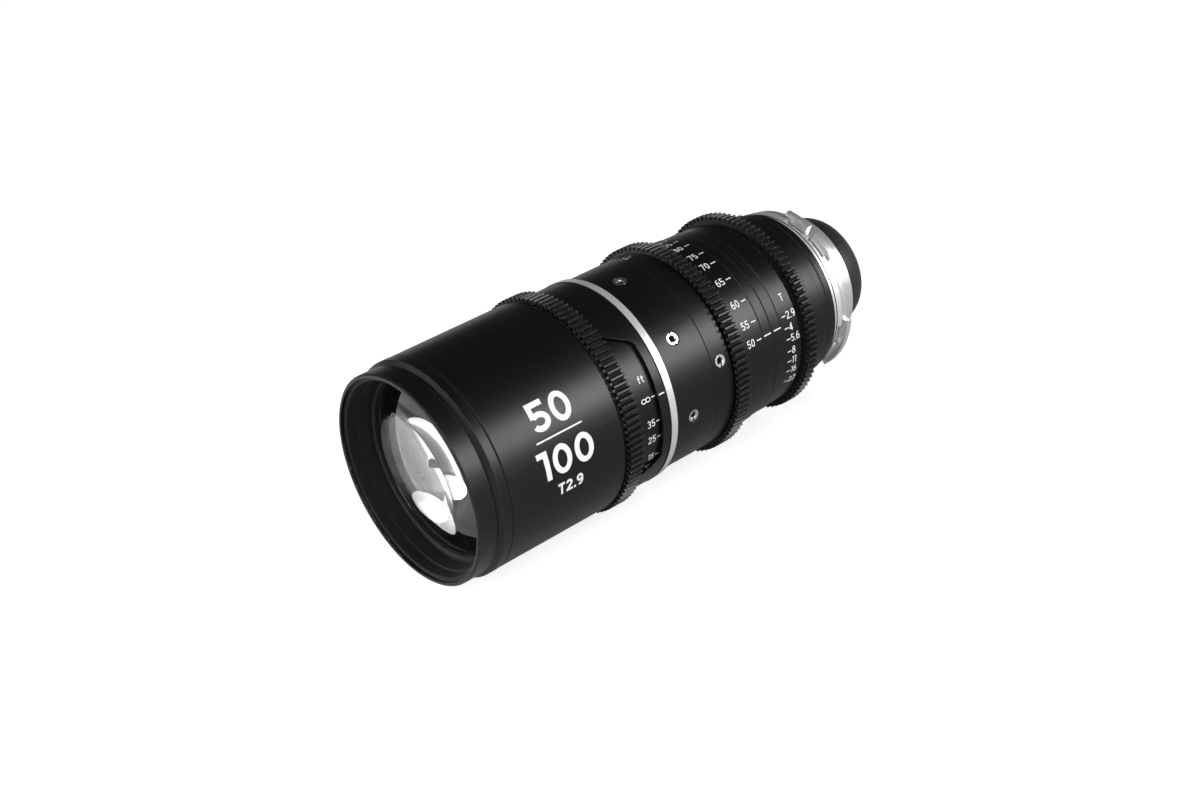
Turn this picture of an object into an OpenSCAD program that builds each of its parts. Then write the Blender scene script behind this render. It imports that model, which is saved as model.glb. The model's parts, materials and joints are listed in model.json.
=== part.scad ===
// Zoom lens for a cinema camera, in millimetres.
// The optical axis is +Y towards the camera, +Z is the top, and the index marks face +X.
// The origin is the centre of the flange seat, where the lens meets the camera.

/* [Mount] */
// Radius of the locating barrel behind the seat, which the other radii are built on
mount_r = 27; // [26.9:0.05:27.1]
// Length of the locating barrel behind the seat
mount_len = 8.4; // [6:0.2:10]
// Length of the rear baffle behind the locating barrel
baffle_len = 12.6; // [11:0.2:14]
// Thickness of the flange plate
plate_t = 2.2; // [2:0.1:3]
// Width of the flange plate outside the locating barrel
plate_rise = 4; // [3.8:0.1:4.2]
// Reach of the four wings outside the locating barrel
wing_rise = 6.4; // [6:0.1:7]
// Width of one wing, in degrees
wing_width = 46; // [40:1:50]
// Length of the bare metal neck
neck_len = 4.6; // [4.4:0.1:6]
// Height of the neck's front above the locating barrel
neck_front_rise = 3.9; // [3.7:0.1:4]
// Height of the neck's rear above the locating barrel
neck_rear_rise = 4.5; // [4.2:0.1:4.8]
// Length of the rear barrel
rear_len = 16.4; // [16:0.2:20]
// Height of the main tube's surface above the locating barrel
tube_rise = 8; // [7.9:0.1:8.4]

/* [Front] */
// Height of the front ring's rim above the main tube
front_ring_rise = 3.8; // [3.6:0.1:4.2]
// Height of the front barrel above the main tube
front_barrel_rise = 4.9; // [4.7:0.1:5.2]
// Step from the front barrel up to the band that clamp-on accessories grip
front_band_step = 0.1; // [0.05:0.05:0.6]
// Length of the front ring, rim to joint
front_ring_len = 13.3; // [12.8:0.1:15]
// Length of the front barrel
front_barrel_len = 49.3; // [48:0.5:60]
// Height of the filter thread above the main tube
filter_rise = 1; // [0.8:0.1:1.4]
// Depth of the filter thread
filter_len = 4; // [3:0.2:4.2]

/* [Focus] */
// Height of the focus gear's teeth above the main tube
focus_gear_rise = 6.2; // [5:0.4:6.6]
// Tooth width of the focus gear
focus_gear_w = 6.2; // [5:0.1:8]
// Travel of the focus group from far to near
focus_travel = 8; // [4:0.5:8]
// Turn of the focus ring from far to near, in degrees
focus_turn = 205; // [150:5:220]
// Height of the focus scale above the main tube
focus_scale_rise = 2.4; // [2.2:0.1:2.5]
// Length of the cover over the focus scale
cover_len = 14; // [13:0.5:18]
// Gap and wall of the cover over the focus scale
cover_rise = 1.5; // [1.4:0.1:1.8]

/* [Middle] */
// Step from the cover up to the bare metal trim ring
trim_step = 0.2; // [0.1:0.1:0.6]
// Length of the bare metal trim ring
trim_len = 3.4; // [2:0.2:5]
// Height of the middle barrel above the main tube
mid_rise = 3; // [2.6:0.1:3.4]
// Length of the middle barrel
mid_len = 19.8; // [19:0.5:24]
// Step from the middle barrel down to the rear sleeve
sleeve_step = 0.1; // [0:0.1:0.4]
// Length of the rear sleeve
sleeve_len = 8.6; // [8:0.2:12]

/* [Zoom] */
// Height of the zoom gear's teeth above the main tube
zoom_gear_rise = 5.4; // [4.2:0.4:5.8]
// Tooth width of the zoom gear
zoom_gear_w = 5.6; // [5:0.1:7]
// Turn of the zoom ring from wide to long, in degrees
zoom_turn = 105; // [90:1:108]
// Height of the zoom scale above the main tube
zoom_scale_rise = 2.1; // [1.6:0.1:2.3]
// Length of the zoom scale
zoom_scale_len = 12; // [11:0.5:15]
// Travel of the front zoom group
variator_travel = 14; // [10:0.5:14]
// Travel of the rear zoom group
compensator_travel = 6; // [3:0.5:6]

/* [Iris] */
// Height of the iris gear's teeth above the main tube
iris_gear_rise = 3.8; // [3.4:0.4:4.6]
// Tooth width of the iris gear
iris_gear_w = 4.2; // [3.5:0.1:6]
// Turn of the iris ring from rest to fully open, in degrees
iris_open_turn = 4.75; // [3:0.25:5]
// Turn of the iris ring from rest to fully closed, in degrees
iris_close_turn = 38.75; // [30:0.25:39]
// Height of the iris scale above the main tube
iris_scale_rise = 1.1; // [0.8:0.1:1.4]
// Length of the iris scale
iris_scale_len = 10.6; // [10:0.2:14]
// Height of the front index ring above the main tube
index_front_rise = 1.6; // [1.3:0.1:1.9]
// Step from the front index ring down to the rear one
index_step = 0.1; // [0:0.1:0.4]
// Length of the front index ring
index_front_len = 4.7; // [4:0.1:6]
// Length of the rear index ring
index_rear_len = 4.6; // [4:0.1:6]
// Width of an iris blade
blade_w = 6.2; // [5.8:0.1:7.8]

/* [Hidden] */
$fn = 96;

// Shared clearances
fit_gap = 0.02;      // between fixed parts that plug together
run_gap = 0.05;      // between parts that turn or slide on each other
slot_gap = 0.15;     // each side of a pin in its slot
slot_relief = 0.04;  // by which a slot's drilled ends are wider than the slot, each side
side_gap = 0.4;      // end play beside a turning ring
cover_gap = 0.3;     // between a turning ring and the cover over it
over = 1;            // overrun of a cutting tool

// Gear standard: module 0.8
module_size = 0.8;
tooth_depth_share = 2.25;
tooth_depth = tooth_depth_share * module_size;
function tip_r(teeth) = (teeth + 2) * module_size / 2;
function teeth_at(r) = round(2 * r / module_size) - 2;

// Radii outside the main tube
tube_r = mount_r + tube_rise;
front_ring_r = tube_r + front_ring_rise;
front_barrel_r = tube_r + front_barrel_rise;
front_band_r = front_barrel_r + front_band_step;
filter_r = tube_r + filter_rise;
focus_scale_r = tube_r + focus_scale_rise;
cover_r = focus_scale_r + cover_rise;
trim_r = cover_r + trim_step;
mid_r = tube_r + mid_rise;
sleeve_r = mid_r - sleeve_step;
zoom_scale_r = tube_r + zoom_scale_rise;
iris_scale_r = tube_r + iris_scale_rise;
index_front_r = tube_r + index_front_rise;
index_rear_r = index_front_r - index_step;
focus_teeth = teeth_at(tube_r + focus_gear_rise);
zoom_teeth = teeth_at(tube_r + zoom_gear_rise);
iris_teeth = teeth_at(tube_r + iris_gear_rise);

// Stations along the optical axis, counted back from the flange seat
mount_gap = 0.5;
shim_t = 0.3;
joint_line = 0.2;
ring_bevel = 0.3;            // on the edges beside a joint between two rings
lip_len = 1;
z_plate = -plate_t;
z_neck_rear = z_plate - mount_gap;
z_neck_front = z_neck_rear - neck_len;
z_rear_front = z_neck_front - rear_len;
z_iris_end = z_rear_front - side_gap;
z_iris_gear = z_iris_end - iris_gear_w;
z_iris_front = z_iris_gear - iris_scale_len;
z_index_end = z_iris_front - joint_line;
z_index_mid = z_index_end - index_rear_len;
z_index_front = z_index_mid - index_front_len;
z_zoom_end = z_index_front - cover_gap;
z_zoom_gear = z_zoom_end - zoom_scale_len;
z_zoom_front = z_zoom_gear - zoom_gear_w;
z_sleeve_end = z_zoom_front - side_gap;
z_mid_end = z_sleeve_end - sleeve_len;
z_mid_front = z_mid_end - mid_len;
z_trim_front = z_mid_front - trim_len;
z_cover_front = z_trim_front - cover_len;
z_focus_gear = z_cover_front - side_gap;
z_focus_gear_front = z_focus_gear - focus_gear_w;
z_focus_front = z_focus_gear_front - lip_len;
z_barrel_end = z_focus_front - side_gap;
z_joint = z_barrel_end - front_barrel_len;
z_rim = z_joint - front_ring_len;

// Front ring and hood
rim_step = 1.4;
rim_bore_r = filter_r + rim_step;
rim_bore_len = 1.6;
rim_round = 0.6;
ring_groove_front = 7.2;
ring_groove_len = 0.8;
ring_groove_depth = 0.8;
band_len = 3.4;
spigot_len = 4;
spigot_wall = 2.2;
spigot_r = filter_r + spigot_wall;
hood_step = 0.8;
hood_r = filter_r - hood_step;
joint_groove = 0.4;

// Front optical cell
glass_gap = 0.05;
glass_land = 0.5;            // flat rim round a hollow face
cell_wall = 0.9;
front_glass_r = hood_r - cell_wall;
front_glass_t = 14;
front_curve_shares = [2.62, 4.66];
front_curve_1 = front_glass_r * front_curve_shares[0];
front_curve_2 = front_glass_r * front_curve_shares[1];
retainer_t = 2;
retainer_lap = 1.1;
retainer_bore_r = front_glass_r - retainer_lap;
retainer_chamfer = 0.7;
retainer_front = 10.6;
cell_front = retainer_front + retainer_t;
cell_len = 25.4;
second_step = 2.3;
second_r = front_glass_r - second_step;
second_front = 24;
second_t = 4;
second_curve_shares = [6.25, 1.88];
second_curve_1 = second_r * second_curve_shares[0];
second_curve_2 = second_r * second_curve_shares[1];
cell_lip = 1.5;
cell_lip_r = second_r - cell_lip;
spacer_lap = 0.5;
spacer_bore_r = second_r - spacer_lap;

// Main tube and focus drive
tube_wall = 2;
tube_bore_r = tube_r - tube_wall;
tube_front = 12.6;           // how far the main tube reaches ahead of the front barrel's end
tube_flange_t = 4;
tube_flange_rear = 2.6;
tube_step = 0.1;             // gap between the middle barrel's lip and the main tube's step
core_rise = 0.9;
core_r = tube_r + core_rise;
core_bore_step = 0.4;
core_bore_r = tube_bore_r + core_bore_step;
core_end = 1;                // the main tube stops this far short of the rear sleeve's end
focus_end_gap = 1.2;
focus_lip_rise = 3.6;
focus_lip_r = tube_r + focus_lip_rise;
focus_pin_r = 1;
focus_pin_back = 6.4;        // pins at rest, ahead of the focus ring's rear end
focus_groove_depth = 1.2;
focus_groove_r = tube_r + focus_groove_depth;
focus_pin_reach = 0.2;
focus_carriage_len = 14;
focus_carriage_back = 3;
focus_glass_inset = 5;
focus_glass_r = tube_bore_r - focus_glass_inset;
focus_glass_t = 11;
focus_curve_shares = [2.68, 3.93];
focus_curve_1 = focus_glass_r * focus_curve_shares[0];
focus_curve_2 = focus_glass_r * focus_curve_shares[1];
carriage_lip = 2;
inner_retainer_t = 1.6;
z_focus_end = z_trim_front - focus_end_gap;
z_focus_pin = z_focus_end - focus_pin_back;

// Window in the cover over the focus scale
cover_wall = 1.2;
window_depth = 10.5;         // from the cover's front edge to the straight edge of the window
window_wide = 88;            // in degrees, at the front edge
window_narrow = 66;          // in degrees, at the straight edge
window_turn = 4;             // in degrees, of the window's middle below the index line
window_round = 1.5;
cover_rim_t = 0.8;

// Outer barrels and their screws
shell_gap = 0.1;             // between the main tube and the barrels over it
shell_bore_r = core_r + shell_gap;
shell_lip_len = 3;
screw_r = 1.7;
screw_hole_r = 1.15;         // threaded hole in the middle of the screw
screw_bevel = 0.35;
screw_head_r = 2.65;
screw_head_t = 1.1;
screw_slot_w = 0.7;
screw_slot_t = 0.8;
screw_len = 3;
front_screw_count = 8;
rear_screw_count = 4;
front_screw_back = 8.6;      // from the middle barrel's front
rear_screw_back = 4.3;       // from the rear sleeve's front
front_screw_turn = 22.5;
barrel_groove = 0.3;

// Zoom drive
cam_wall = 2;
guide_r = tube_bore_r - cam_wall;
guide_wall = 2;
guide_bore_r = guide_r - guide_wall;
guide_flange_t = 4;
guide_front = 0.4;           // ahead of the trim ring's front
guide_tail = 5;              // how far the guide tube plugs into the rear barrel
cam_r = tube_bore_r;
cam_front_gap = 3;           // from the guide tube's flange to the cam sleeve's front
cam_front_margin = 6;        // from the cam sleeve's front to the front group's pins at rest
cam_rear_margin = 4.4;       // from the rear group's pins at rest to the cam sleeve's end
zoom_pin_r = 1.5;
zoom_pin_short = 0.1;
variator_len = 12;
variator_pin_back = 6;
zoom_glass_inset = 7;
variator_r = guide_bore_r - zoom_glass_inset;
variator_t = 3;
variator_curve_shares = [2.73, 2.05];
variator_curve_1 = variator_r * variator_curve_shares[0];
variator_curve_2 = variator_r * variator_curve_shares[1];
compensator_len = 8;
compensator_pin_back_in = 4;
compensator_r = guide_bore_r - zoom_glass_inset;
compensator_t = 7.5;
compensator_curve_shares = [3.18, 5];
compensator_curve_1 = compensator_r * compensator_curve_shares[0];
compensator_curve_2 = compensator_r * compensator_curve_shares[1];
key_w = 3;
key_len = 4;
key_rise = 1.5;
key_out_r = cam_r + key_rise;
key_sink = 1.1;
key_in_r = cam_r - key_sink;
key_back = 0.8;              // from the zoom gear's front
key_turn = 60;

// Iris
blade_count = 9;
blade_t = 0.2;
blade_layer = 0.3;
blade_inset = 6.2;
blade_out_r = guide_bore_r - blade_inset;
iris_open_r = blade_out_r - blade_w;
blade_length = 108;          // in degrees round the opening
blade_turn_total = 33;       // in degrees, from open to closed
blade_ratio = blade_turn_total / (iris_open_turn + iris_close_turn);
pivot_inset = 3.5;
pivot_r = guide_bore_r - pivot_inset;
pivot_pin_r = 0.6;
drive_pin_r = 0.5;
drive_arm = 4.2;
drive_lead = 74;             // in degrees, of the arm when the iris is open
ear_r = 1.3;
arm_w = 2;
base_t = 2;
base_back = 0.8;             // from the iris ring's front
stack_gap = 0.3;
drive_ring_t = 2;
drive_ring_inset = 5.8;
drive_ring_bore_r = guide_bore_r - drive_ring_inset;
iris_key_r = 0.8;
iris_key_sink = 1.1;
iris_key_in_r = guide_bore_r - iris_key_sink;
iris_key_rise = 2.5;
iris_key_out_r = guide_r + iris_key_rise;
iris_key_turn = 200;
iris_groove_depth = 1.5;
iris_groove_r = iris_scale_r - iris_groove_depth;
iris_groove_len = 2.4;
z_base = z_iris_front + base_back;
z_stack = z_base + base_t + blade_layer - blade_t;
z_drive = z_stack + blade_count * blade_layer + stack_gap;
z_key = z_drive + drive_ring_t / 2;

// Rear barrel, rear optics and mount
rear_step = 8.8;             // from the rear barrel's front to its first groove
rear_drop = 1.1;             // of the rear barrel's front below the main tube's surface
rear_r = tube_r - rear_drop;
rear_mid_drop = 0.9;
rear_mid_r = rear_r - rear_mid_drop;
rear_end_drop = 0.8;
rear_end_r = rear_mid_r - rear_end_drop;
rear_mid_len = 3.4;
bead_w = 0.4;
bead_depth = 0.5;
rear_bore_step = 5;
rear_bore_r = guide_r - rear_bore_step;
cell_gap = 0.1;
rear_cell_r = rear_bore_r - cell_gap;
rear_cell_front_len = 10;
mount_wall = 2;
mount_bore_r = mount_r - mount_wall;
rear_cell_tail_r = mount_bore_r - cell_gap;
rear_cell_tail_len = 10.5;
rear_cell_wall = 3.9;
rear_glass_r = rear_cell_tail_r - rear_cell_wall;
rear_glass_t = 9.5;
rear_curve_shares = [2.29, 4.29];
rear_curve_1 = rear_glass_r * rear_curve_shares[0];
rear_curve_2 = rear_glass_r * rear_curve_shares[1];
rear_glass_front = 1.6;
last_glass_t = 4;
last_curve_shares = [5.71, 2.62];
last_curve_1 = rear_glass_r * last_curve_shares[0];
last_curve_2 = rear_glass_r * last_curve_shares[1];
rear_spacer_len = 7;
rear_cell_lip = 1.5;
rear_cell_bore_r = rear_glass_r - rear_cell_lip;
neck_front_r = mount_r + neck_front_rise;
neck_rear_r = mount_r + neck_rear_rise;
plate_r = mount_r + plate_rise;
wing_r = mount_r + wing_rise;
neck_bore_drop = 0.9;
neck_bore_r = mount_r - neck_bore_drop;
neck_hub_rise = 0.6;
neck_hub_bore_r = mount_r + neck_hub_rise;
hub_len = 3.4;
hub_gap = 0.1;
shim_in_step = 0.3;
shim_in_r = neck_bore_r + shim_in_step;
shim_w = 3.2;
shim_out_r = shim_in_r + shim_w;
mount_round = 0.5;
wing_count = 4;
notch_turn = 45;             // in degrees from the top
notch_width = 6;
notch_depth = 2.1;
notch_r = plate_r - notch_depth;
scoop_depth = 2;             // of the pockets in the neck in front of each wing
scoop_flat = 1;
scoop_len = 2.8;
scoop_width = 17;            // in degrees
scoop_turn = 10.5;           // from the middle of a wing to the middle of a pocket
scoop_r = neck_rear_r - scoop_depth;
mount_screw_count = 4;
mount_screw_inset = 1.8;
mount_screw_circle = plate_r - mount_screw_inset;
mount_screw_r = 0.8;
mount_screw_head_r = 1.4;
mount_screw_head_t = 0.7;
mount_screw_len = 4.5;
baffle_drop = 4;
baffle_r = mount_r - baffle_drop;
baffle_hub_len = 3;
baffle_round = 4;
baffle_end_r = baffle_r - baffle_round;
baffle_straight = 1.5;
baffle_lip = 2.5;
baffle_open_r = baffle_end_r - baffle_lip;
baffle_flare = 2.5;
baffle_throat_r = baffle_open_r - baffle_flare;

// Turns a shape drawn along z so that it lies along the optical axis.
module on_axis() { rotate([-90, 0, 0]) children(); }

// Turns a shape that faces +X of the drawing to an angle counted from the top of the lens.
module at_angle(turn) { rotate([0, 0, turn - 90]) children(); }

// Ring between two radii and two stations.
module ring(out_r, in_r, z1, z2) {
  rotate_extrude() translate([in_r, z1]) square([out_r - in_r, z2 - z1]);
}

// Ring with its two outer edges bevelled.
module bevelled_ring(out_r, in_r, z1, z2) {
  turned([[in_r, z1], [out_r - ring_bevel, z1], [out_r, z1 + ring_bevel],
    [out_r, z2 - ring_bevel], [out_r - ring_bevel, z2], [in_r, z2]]);
}

// Solid of revolution from points of radius and station.
module turned(points) { rotate_extrude() polygon(points); }

// Plain disc, used to cut bores.
module plug(r, z1, z2) { translate([0, 0, z1]) cylinder(r = r, h = z2 - z1); }

// Radial pin that starts at one radius and ends at another. Its seam lies off the slots' edges.
pin_seam = 37;
module radial_pin(r, in_r, out_r, z, turn) {
  at_angle(turn) translate([in_r, 0, z]) rotate([0, 90, 0]) rotate([0, 0, pin_seam])
    cylinder(r = r, h = out_r - in_r);
}

function sag(curve, r) = curve - sqrt(curve * curve - r * r);

// Glass with a round edge. A curve over zero bulges and one below zero is hollow.
glass_facets = 240;
module element(r, z, t, curve_1, curve_2) {
  front_reach = curve_1 < 0 ? sag(-curve_1, r - glass_land) : -over;
  rear_reach = curve_2 < 0 ? sag(-curve_2, r - glass_land) : -over;
  difference() {
    intersection() {
      plug(r, z - abs(front_reach), z + t + abs(rear_reach));
      if (curve_1 > 0) translate([0, 0, z + curve_1]) sphere(r = curve_1, $fn = glass_facets);
      if (curve_2 > 0) translate([0, 0, z + t - curve_2]) sphere(r = curve_2, $fn = glass_facets);
    }
    if (curve_1 < 0) translate([0, 0, z + curve_1]) sphere(r = -curve_1, $fn = glass_facets);
    if (curve_2 < 0) translate([0, 0, z + t - curve_2]) sphere(r = -curve_2, $fn = glass_facets);
  }
}

// Toothed band: an outline of straight-sided teeth with a round bore.
root_half_share = 0.34;
mid_half_share = 0.25;
tip_half_share = 0.13;
function gear_points(teeth) =
  let (tip = tip_r(teeth), root = tip - tooth_depth, pitch = tip - module_size, step = 360 / teeth)
  [for (i = [0:teeth - 1], p = [[-root_half_share, root], [-mid_half_share, pitch],
      [-tip_half_share, tip], [tip_half_share, tip], [mid_half_share, pitch],
      [root_half_share, root]])
    [p[1] * cos((i + p[0]) * step), p[1] * sin((i + p[0]) * step)]];

module gear_band(teeth, bore_r, z, w) {
  translate([0, 0, z]) difference() {
    linear_extrude(w) polygon(gear_points(teeth));
    translate([0, 0, -over]) cylinder(r = bore_r, h = w + 2 * over);
  }
}

// Cutter for a slot that climbs while it turns, with round ends for a pin.
helix_steps = 20;
module helix_slot(pin_r, in_r, out_r, turn_1, turn_2, z_1, z_2) {
  slope = (z_2 - z_1) / (abs(turn_2 - turn_1) * PI / 180 * in_r);
  half = (pin_r + slot_gap) * sqrt(1 + slope * slope);
  at = function (i) i / helix_steps;
  points = [for (i = [0:helix_steps], c = [[in_r, -half], [out_r, -half], [out_r, half], [in_r, half]])
    let (a = turn_1 + (turn_2 - turn_1) * at(i) - 90)
    [c[0] * cos(a), c[0] * sin(a), z_1 + (z_2 - z_1) * at(i) + c[1]]];
  sides = [for (i = [0:helix_steps - 1], k = [0:3])
    let (a = 4 * i + k, b = 4 * i + (k + 1) % 4) each [[a, b, b + 4], [a, b + 4, a + 4]]];
  last = 4 * helix_steps;
  ends = [[0, 3, 2], [0, 2, 1], [last, last + 1, last + 2], [last, last + 2, last + 3]];
  faces = concat(sides, ends);
  polyhedron(points, turn_2 > turn_1 ? faces : [for (f = faces) [f[2], f[1], f[0]]]);
  radial_pin(pin_r + slot_gap + slot_relief, in_r, out_r, z_1, turn_1);
  radial_pin(pin_r + slot_gap + slot_relief, in_r, out_r, z_2, turn_2);
}

// Cutter for a slot along the optical axis, with round ends for a pin.
module straight_slot(pin_r, in_r, out_r, turn, z_1, z_2) {
  half = pin_r + slot_gap;
  at_angle(turn) translate([in_r, -half, z_1]) cube([out_r - in_r, 2 * half, z_2 - z_1]);
  radial_pin(half + slot_relief, in_r, out_r, z_1, turn);
  radial_pin(half + slot_relief, in_r, out_r, z_2, turn);
}

pin_turns = [30, 150, 270];
index_turn = 90;             // in degrees from the top

// Front group

module front_ring() {
  color("#17171a") on_axis() difference() {
    turned([[0, z_rim], [front_ring_r - rim_round, z_rim], [front_ring_r, z_rim + rim_round],
      [front_ring_r, z_rim + ring_groove_front],
      [front_ring_r - ring_groove_depth, z_rim + ring_groove_front],
      [front_ring_r - ring_groove_depth, z_rim + ring_groove_front + ring_groove_len],
      [front_band_r, z_joint - band_len - joint_groove / 2],
      [front_band_r, z_joint - joint_groove],
      [front_band_r - joint_groove, z_joint], [spigot_r, z_joint],
      [spigot_r, z_joint + spigot_len], [0, z_joint + spigot_len]]);
    plug(rim_bore_r, z_rim - over, z_rim + rim_bore_len);
    plug(filter_r, z_rim, z_rim + rim_bore_len + filter_len);
    plug(hood_r, z_rim, z_joint + spigot_len + over);
  }
}

module front_barrel() {
  color("#141416") on_axis() difference() {
    turned([[0, z_joint], [front_barrel_r - joint_groove, z_joint],
      [front_barrel_r, z_joint + joint_groove], [front_barrel_r, z_barrel_end - joint_groove],
      [front_barrel_r - joint_groove, z_barrel_end], [0, z_barrel_end]]);
    plug(spigot_r + fit_gap, z_joint - over, z_rim + cell_front + cell_len);
    plug(spigot_r - lip_len, z_joint, z_barrel_end + over);
    plug(spigot_r + fit_gap, z_barrel_end - tube_flange_rear - tube_flange_t, z_barrel_end + over);
  }
}

module front_cell() {
  z1 = z_rim + cell_front;
  z2 = z1 + cell_len;
  z_glass_2 = z_rim + second_front;
  edge_2 = z_second_glass + second_t + sag(second_curve_2, second_r - glass_land);
  color("#202022") on_axis() difference() {
    union() {
      plug(hood_r - fit_gap, z1, z_joint + spigot_len + over);
      plug(spigot_r, z_joint + spigot_len, z2);
    }
    plug(front_glass_r + glass_gap, z1 - over, z_glass_2);
    plug(second_r + glass_gap, z1, edge_2);
    plug(cell_lip_r, z1, z2 + over);
  }
}

// Each glass touches the inner edges of the rings in front of it and behind it.
z_front_glass = z_rim + cell_front - sag(front_curve_1, retainer_bore_r);
front_glass_end = z_front_glass + front_glass_t - sag(front_curve_2, spacer_bore_r);
z_second_glass = z_rim + second_front - sag(second_curve_1, spacer_bore_r);

module front_glass() {
  color("#8fa0b0") on_axis()
    element(front_glass_r, z_front_glass, front_glass_t, front_curve_1, front_curve_2);
}

module front_retainer() {
  z1 = z_rim + retainer_front;
  color("#1c1c1e") on_axis()
    turned([[retainer_bore_r + retainer_chamfer, z1], [hood_r - fit_gap, z1],
      [hood_r - fit_gap, z1 + retainer_t], [retainer_bore_r, z1 + retainer_t],
      [retainer_bore_r, z1 + retainer_chamfer]]);
}

module front_spacer() {
  color("#1c1c1e") on_axis() ring(front_glass_r, spacer_bore_r, front_glass_end, z_rim + second_front);
}

module second_glass() {
  color("#8fa0b0") on_axis()
    element(second_r, z_second_glass, second_t, second_curve_1, -second_curve_2);
}

// Focus group

module main_tube() {
  z1 = z_barrel_end - tube_front;
  z_step = z_mid_front + shell_lip_len + tube_step;
  z2 = z_sleeve_end - core_end;
  z_flange = z_barrel_end - tube_flange_rear - tube_flange_t;
  color("#2a2a2c") on_axis() difference() {
    turned([[tube_bore_r, z1], [tube_r, z1], [tube_r, z_flange], [spigot_r, z_flange],
      [spigot_r, z_flange + tube_flange_t], [tube_r, z_flange + tube_flange_t],
      [tube_r, z_step], [core_r, z_step], [core_r, z2], [core_bore_r, z2],
      [core_bore_r, z_step], [tube_bore_r, z_step]]);
    for (turn = pin_turns)
      straight_slot(focus_pin_r, tube_bore_r - over, tube_r + over, turn,
        z_focus_pin - focus_travel, z_focus_pin);
    screw_holes();
  }
}

module focus_ring() {
  bore_r = tube_r + run_gap;
  color("#141416") on_axis() difference() {
    union() {
      ring(focus_lip_r, bore_r, z_focus_front, z_focus_gear_front);
      gear_band(focus_teeth, bore_r, z_focus_gear_front, focus_gear_w);
      ring(focus_scale_r, bore_r, z_focus_gear, z_focus_end);
    }
    for (turn = pin_turns)
      helix_slot(focus_pin_r, tube_r - over, focus_groove_r, turn, turn + focus_turn,
        z_focus_pin, z_focus_pin - focus_travel);
  }
}

z_focus_carriage = z_focus_pin + focus_carriage_back - focus_carriage_len;
z_focus_seat = z_focus_carriage + focus_carriage_len - carriage_lip;

module focus_carriage() {
  z2 = z_focus_carriage + focus_carriage_len;
  color("#3a3a3d") on_axis() difference() {
    plug(tube_bore_r - run_gap, z_focus_carriage, z2);
    plug(focus_glass_r + glass_gap, z_focus_carriage - over, z_focus_seat);
    plug(focus_glass_r - carriage_lip, z_focus_carriage, z2 + over);
    for (turn = pin_turns)
      radial_pin(focus_pin_r, focus_glass_r + carriage_lip, tube_bore_r, z_focus_pin, turn);
  }
}

focus_lip = focus_glass_r - carriage_lip;
z_focus_glass = z_focus_seat + sag(focus_curve_2, focus_lip) - focus_glass_t;

module focus_glass() {
  color("#8fa0b0") on_axis()
    element(focus_glass_r, z_focus_glass, focus_glass_t, focus_curve_1, focus_curve_2);
}

module focus_retainer() {
  z2 = z_focus_glass + sag(focus_curve_1, focus_lip);
  color("#1c1c1e") on_axis() ring(focus_glass_r, focus_lip, z2 - inner_retainer_t, z2);
}

module focus_pins() {
  color("#c9a64b") on_axis() for (turn = pin_turns)
    radial_pin(focus_pin_r, focus_glass_r + carriage_lip, focus_groove_r - focus_pin_reach,
      z_focus_pin, turn);
}

// Cover with a window over the focus scale, and the trim ring behind it

module window_cutter() {
  z_edge = z_cover_front + window_depth;
  wide = cover_r * sin(window_wide / 2);
  narrow = cover_r * sin(window_narrow / 2);
  flare = over * (wide - narrow) / window_depth;
  at_angle(index_turn + window_turn) rotate([0, 90, 0]) linear_extrude(cover_r + over)
    polygon([[-z_cover_front + over, -wide - flare],
      [-z_edge + window_round, -narrow - window_round], [-z_edge, -narrow],
      [-z_edge, narrow], [-z_edge + window_round, narrow + window_round],
      [-z_cover_front + over, wide + flare]]);
}

module window_cover() {
  color("#161618") on_axis() difference() {
    turned([[0, z_cover_front], [cover_r - joint_groove, z_cover_front],
      [cover_r, z_cover_front + joint_groove], [cover_r, z_trim_front], [0, z_trim_front]]);
    plug(cover_r - cover_wall, z_cover_front - over, z_trim_front - cover_rim_t);
    plug(tube_r, z_cover_front, z_trim_front + over);
    window_cutter();
  }
}

module trim_ring() {
  slope = (trim_r - cover_r) / 2;
  color("#d8d8da") on_axis()
    turned([[tube_r, z_trim_front], [trim_r, z_trim_front], [trim_r - slope, z_mid_front],
      [tube_r, z_mid_front]]);
}

// Outer barrels behind the trim ring, and the screws that hold them

function front_screw_turns() =
  [for (i = [0:front_screw_count - 1]) front_screw_turn + i * 360 / front_screw_count];
function rear_screw_turns() = [for (i = [0:rear_screw_count - 1]) i * 360 / rear_screw_count];
z_front_screws = z_mid_front + front_screw_back;
z_rear_screws = z_mid_end + rear_screw_back;

function seat_profile(clear) = concat(
  clear > 0 ? [[0, -clear], [screw_head_r, -clear], [screw_head_r, 0]] : [[0, 0], [screw_head_r, 0]],
  [[screw_r, screw_head_t], [screw_r, screw_len], [0, screw_len]]);

module screw(shell_r, z, turn, clear) {
  at_angle(turn) translate([shell_r - barrel_groove, 0, z]) rotate([0, -90, 0])
    turned(seat_profile(clear));
}

// Slotted bush with a threaded hole through it: its rim is bevelled inside and outside.
module slotted_screw(shell_r, z, turn) {
  rim_r = screw_head_r - screw_bevel;
  cone_r = screw_head_r - screw_bevel * (screw_head_r - screw_r) / screw_head_t;
  at_angle(turn) translate([shell_r - barrel_groove, 0, z]) rotate([0, -90, 0]) difference() {
    turned([[screw_hole_r + screw_bevel, 0], [rim_r, 0], [cone_r, screw_bevel],
      [screw_r, screw_head_t], [screw_r, screw_len], [screw_hole_r, screw_len],
      [screw_hole_r, screw_bevel]]);
    translate([-screw_slot_w / 2, -screw_head_r, screw_slot_t - over])
      cube([screw_slot_w, 2 * screw_head_r, over]);
  }
}

module screw_holes() {
  for (turn = front_screw_turns()) screw(mid_r, z_front_screws, turn, 0);
  for (turn = rear_screw_turns()) screw(sleeve_r, z_rear_screws, turn, 0);
}

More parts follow.
